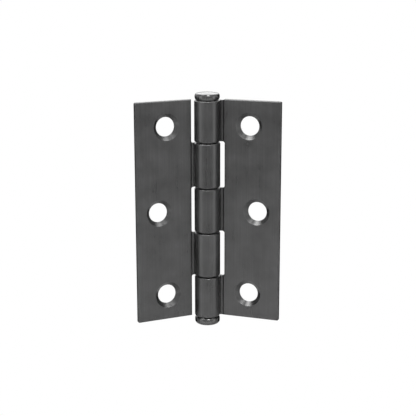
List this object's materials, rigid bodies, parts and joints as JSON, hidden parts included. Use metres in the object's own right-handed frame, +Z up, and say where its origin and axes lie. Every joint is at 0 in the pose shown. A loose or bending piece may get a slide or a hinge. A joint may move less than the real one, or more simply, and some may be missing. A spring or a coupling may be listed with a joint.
{
  "type": "butt hinge",
  "caption": "Satin black steel butt hinge: cranked leaves with countersunk, staggered screw holes roll into knuckles that turn on a headed pin, to hang a door or lid.",
  "frame": {"origin": "on the back face of the frame leaf, midway between its two end screw holes", "axes": "+Z up along the pin, +Y out of the frame leaf's back into the frame it is screwed to, +X from the pin towards the frame leaf's free edge"},
  "size_m": [0.0456, 0.0208, 0.0815],
  "materials": {
    "leaf_black": "satin black coating over rolled steel strip",
    "pin_black": "satin black coating over turned steel"
  },
  "bodies": {
    "frame_side": {"frame_leaf": "leaf_black", "hinge_pin": "pin_black", "bottom_tip": "pin_black"},
    "door_side": {"door_leaf": "leaf_black"}
  },
  "joints": [
    {"name": "leaf_swing", "type": "hinge", "parent": "frame_side", "child": "door_side", "pos_m": [-0.0143, -0.0028, 0], "axis": [0, 0, -1], "range_deg": [-136.6, 158.4]}
  ]
}
